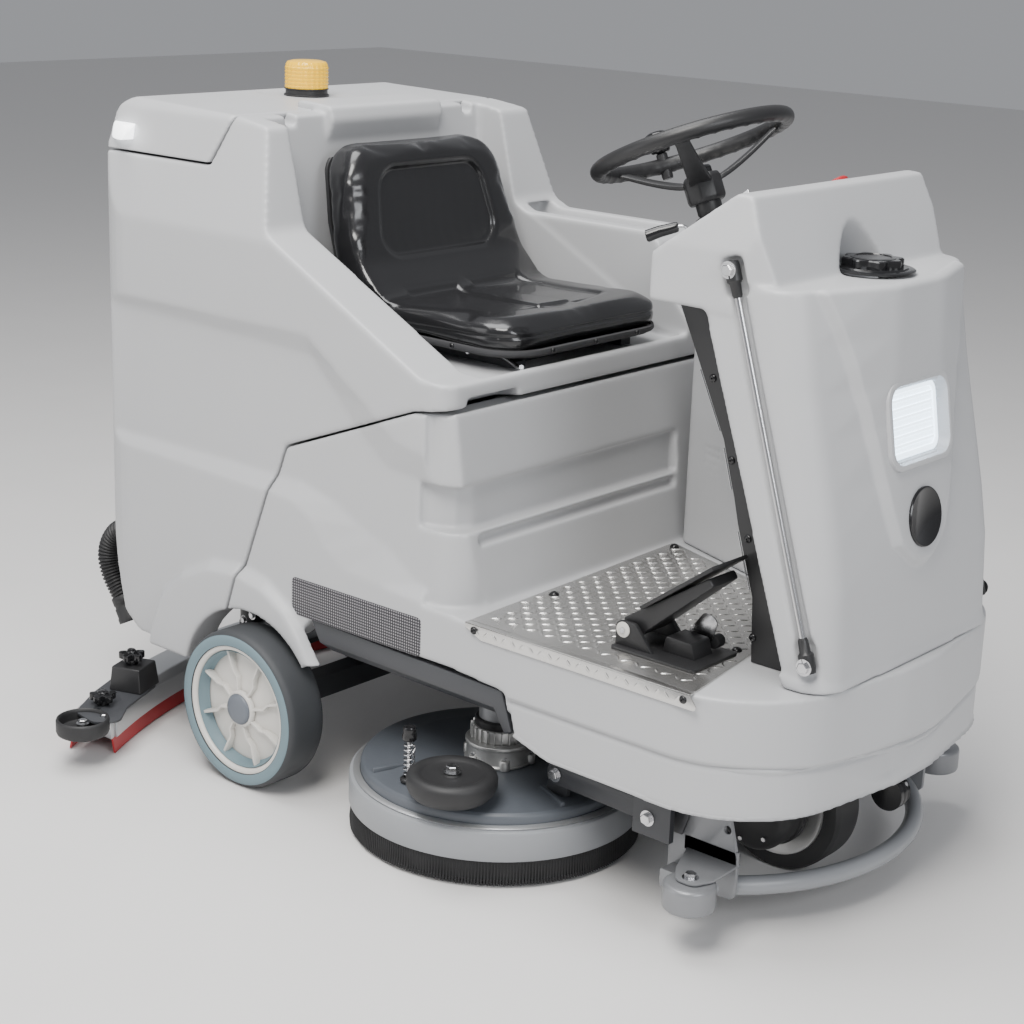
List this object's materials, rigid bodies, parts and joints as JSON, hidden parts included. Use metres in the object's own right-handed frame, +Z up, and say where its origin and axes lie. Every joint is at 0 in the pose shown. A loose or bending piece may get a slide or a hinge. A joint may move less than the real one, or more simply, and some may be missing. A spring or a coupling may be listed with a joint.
{
  "type": "ride-on floor scrubber",
  "caption": "Battery ride-on floor scrubber with steered front drive wheel, twin disc brush deck, rear squeegee and a tilting recovery tank that carries the driver's seat.",
  "frame": {"origin": "on the floor, under the middle of the machine's bounding box", "axes": "+X forward, +Y to the driver's left, +Z up"},
  "size_m": [1.7009, 1.304, 1.2925],
  "materials": {
    "light_shell": "rotomoulded light grey polyethylene, fine satin texture",
    "dark_frame": "dark grey powder coat",
    "grey_steel": "mid grey powder coat, slightly glossy",
    "deck_grey": "dark blue grey cast deck, satin",
    "skirt_grey": "light grey moulded ring, satin",
    "black_plastic": "black moulded plastic",
    "black_gloss": "black glossy moulded plastic",
    "black_vinyl": "black vinyl seat skin with soft gloss",
    "black_rubber": "black rubber",
    "grey_tyre": "blue grey non-marking rubber",
    "white_hub": "off-white moulded nylon",
    "chequer": "chequer plate, worn bright",
    "bright_steel": "bright zinc and stainless",
    "cast_alloy": "die-cast aluminium, grainy",
    "squeegee_alloy": "satin aluminium casting",
    "red_rubber": "red polyurethane blade",
    "lamp_glow": "white lamp, lit",
    "amber": "amber beacon lens",
    "decal": "dark mesh pattern decal",
    "battery": "black battery case",
    "bristle": "black nylon bristle"
  },
  "bodies": {
    "chassis": {"chassis_frame": "dark_frame", "solution_tank": "light_shell", "front_cowl": "light_shell", "dash_panel": "black_plastic", "headlight_bezel": "light_shell", "headlight_lens": "lamp_glow", "badge_disc": "black_gloss", "footplate": "chequer", "deck_bolts": "black_plastic", "left_console": "light_shell", "column_cover": "black_plastic", "steering_column": "black_rubber", "cowl_stays": "bright_steel", "side_decals": "decal", "front_bumper": "grey_steel", "rear_axle": "dark_frame", "battery_pack": "battery", "pedal_base": "black_plastic", "water_pump": "black_plastic", "controller_box": "black_plastic", "horn": "black_gloss"},
    "bumper_roller_right": {"bumper_roller_right": "grey_steel"},
    "bumper_roller_left": {"bumper_roller_left": "grey_steel"},
    "rear_wheel_right": {"rear_tyre_right": "grey_tyre", "rear_hub_right": "white_hub"},
    "rear_wheel_left": {"rear_tyre_left": "grey_tyre", "rear_hub_left": "white_hub"},
    "steer_fork": {"steer_fork": "dark_frame"},
    "drive_wheel": {"drive_tyre": "black_rubber", "drive_hub": "dark_frame"},
    "steering_wheel": {"steering_wheel": "black_plastic"},
    "spinner_knob": {"spinner_knob": "black_plastic"},
    "accelerator_pedal": {"accelerator_pedal": "black_plastic"},
    "dash_lever": {"dash_lever": "black_gloss"},
    "filler_cap": {"filler_cap": "black_gloss"},
    "recovery_tank": {"recovery_tank": "light_shell", "vacuum_motor": "black_plastic", "drain_hose": "black_rubber", "drain_cuff": "black_rubber", "seat_rails": "dark_frame"},
    "tank_lid": {"tank_lid": "light_shell", "lid_lights": "lamp_glow", "beacon": "amber"},
    "seat": {"seat_pan": "black_plastic", "seat_cushion": "black_vinyl"},
    "lift_arms": {"lift_arms": "dark_frame"},
    "brush_deck": {"brush_deck": "deck_grey", "splash_skirts": "skirt_grey", "gear_motors": "cast_alloy"},
    "brush_right": {"brush_right": "bristle"},
    "brush_left": {"brush_left": "bristle"},
    "deck_roller_right": {"deck_roller_right": "black_rubber"},
    "deck_roller_left": {"deck_roller_left": "black_rubber"},
    "deck_pin_right": {"deck_pin_right": "bright_steel"},
    "deck_pin_left": {"deck_pin_left": "bright_steel"},
    "squeegee_arm": {"squeegee_arm": "dark_frame"},
    "squeegee": {"squeegee_body": "squeegee_alloy", "squeegee_blades": "red_rubber"},
    "squeegee_roller_right": {"squeegee_roller_right": "black_rubber"},
    "squeegee_roller_left": {"squeegee_roller_left": "black_rubber"}
  },
  "joints": [
    {"name": "bumper_roller_right_spin", "type": "hinge", "parent": "chassis", "child": "bumper_roller_right", "pos_m": [0.6625, -0.388, 0.101], "axis": [0, 0, 1], "continuous": true},
    {"name": "bumper_roller_left_spin", "type": "hinge", "parent": "chassis", "child": "bumper_roller_left", "pos_m": [0.6625, 0.388, 0.101], "axis": [0, 0, 1], "continuous": true},
    {"name": "rear_wheel_right_spin", "type": "hinge", "parent": "chassis", "child": "rear_wheel_right", "pos_m": [-0.3155, -0.42, 0.15], "axis": [0, 1, 0], "continuous": true},
    {"name": "rear_wheel_left_spin", "type": "hinge", "parent": "chassis", "child": "rear_wheel_left", "pos_m": [-0.3155, 0.42, 0.15], "axis": [0, 1, 0], "continuous": true},
    {"name": "fork_steer", "type": "hinge", "parent": "chassis", "child": "steer_fork", "pos_m": [0.5895, 0, 0.3], "axis": [0, 0, 1], "range_deg": [-75, 75]},
    {"name": "drive_wheel_spin", "type": "hinge", "parent": "steer_fork", "child": "drive_wheel", "pos_m": [0.5895, 0, 0.125], "axis": [0, 1, 0], "continuous": true},
    {"name": "steering_turn", "type": "hinge", "parent": "chassis", "child": "steering_wheel", "pos_m": [0.3055, 0, 1.213], "axis": [-0.4019, 0, 0.9157], "range_deg": [-225, 225]},
    {"name": "spinner_turn", "type": "hinge", "parent": "steering_wheel", "child": "spinner_knob", "pos_m": [0.18324, 0.09349, 1.15933], "axis": [-0.4019, 0, 0.9157], "continuous": true},
    {"name": "pedal_press", "type": "hinge", "parent": "chassis", "child": "accelerator_pedal", "pos_m": [0.4525, -0.268, 0.472], "axis": [0, 1, 0], "range_deg": [0, 15], "stiffness_Nm_per_rad": 6, "springref_deg": -8.59},
    {"name": "lever_turn", "type": "hinge", "parent": "chassis", "child": "dash_lever", "pos_m": [0.4595, -0.215, 1.101], "axis": [0, 0, 1], "range_deg": [-20, 20]},
    {"name": "cap_turn", "type": "hinge", "parent": "chassis", "child": "filler_cap", "pos_m": [0.6685, 0, 1.054], "axis": [0, 0, 1], "continuous": true},
    {"name": "tank_tilt", "type": "hinge", "parent": "chassis", "child": "recovery_tank", "pos_m": [-0.6955, 0, 0.309], "axis": [0, -1, 0], "range_deg": [0, 45]},
    {"name": "lid_open", "type": "hinge", "parent": "recovery_tank", "child": "tank_lid", "pos_m": [-0.7905, 0, 1.121], "axis": [0, -1, 0], "range_deg": [0, 75]},
    {"name": "seat_slide", "type": "slide", "parent": "recovery_tank", "child": "seat", "axis": [1, 0, 0], "range_m": [0, 0.06]},
    {"name": "deck_lift", "type": "hinge", "parent": "chassis", "child": "lift_arms", "pos_m": [0.5345, 0, 0.172], "axis": [0, 1, 0], "range_deg": [0, 14]},
    {"name": "deck_level", "type": "hinge", "parent": "lift_arms", "child": "brush_deck", "pos_m": [0.3245, 0, 0.178], "axis": [0, 1, 0], "range_deg": [-14, 0]},
    {"name": "brush_right_spin", "type": "hinge", "parent": "brush_deck", "child": "brush_right", "pos_m": [0.1315, -0.243, 0.06], "axis": [0, 0, 1], "continuous": true},
    {"name": "brush_left_spin", "type": "hinge", "parent": "brush_deck", "child": "brush_left", "pos_m": [0.1315, 0.243, 0.06], "axis": [0, 0, 1], "continuous": true},
    {"name": "deck_roller_right_spin", "type": "hinge", "parent": "brush_deck", "child": "deck_roller_right", "pos_m": [0.2065, -0.446, 0.16], "axis": [0, 0, 1], "continuous": true},
    {"name": "deck_roller_left_spin", "type": "hinge", "parent": "brush_deck", "child": "deck_roller_left", "pos_m": [0.2065, 0.446, 0.16], "axis": [0, 0, 1], "continuous": true},
    {"name": "deck_pin_right_pull", "type": "slide", "parent": "brush_deck", "child": "deck_pin_right", "axis": [0, 0, 1], "range_m": [0, 0.012], "stiffness_N_per_m": 800, "springref_m": -0.004},
    {"name": "deck_pin_left_pull", "type": "slide", "parent": "brush_deck", "child": "deck_pin_left", "axis": [0, 0, 1], "range_m": [0, 0.012], "stiffness_N_per_m": 800, "springref_m": -0.004},
    {"name": "squeegee_lift", "type": "hinge", "parent": "chassis", "child": "squeegee_arm", "pos_m": [-0.4355, 0, 0.205], "axis": [0, 1, 0], "range_deg": [0, 8]},
    {"name": "squeegee_swing", "type": "hinge", "parent": "squeegee_arm", "child": "squeegee", "pos_m": [-0.6455, 0, 0.128], "axis": [0, 0, 1], "range_deg": [-6, 6]},
    {"name": "squeegee_roller_right_spin", "type": "hinge", "parent": "squeegee", "child": "squeegee_roller_right", "pos_m": [-0.5875, -0.602, 0.07], "axis": [0, 0, 1], "continuous": true},
    {"name": "squeegee_roller_left_spin", "type": "hinge", "parent": "squeegee", "child": "squeegee_roller_left", "pos_m": [-0.5875, 0.602, 0.07], "axis": [0, 0, 1], "continuous": true}
  ],
  "couplings": [
    {"joint": "steering_turn", "follows": "fork_steer", "ratio": 3},
    {"joint": "deck_level", "follows": "deck_lift", "ratio": -1}
  ]
}
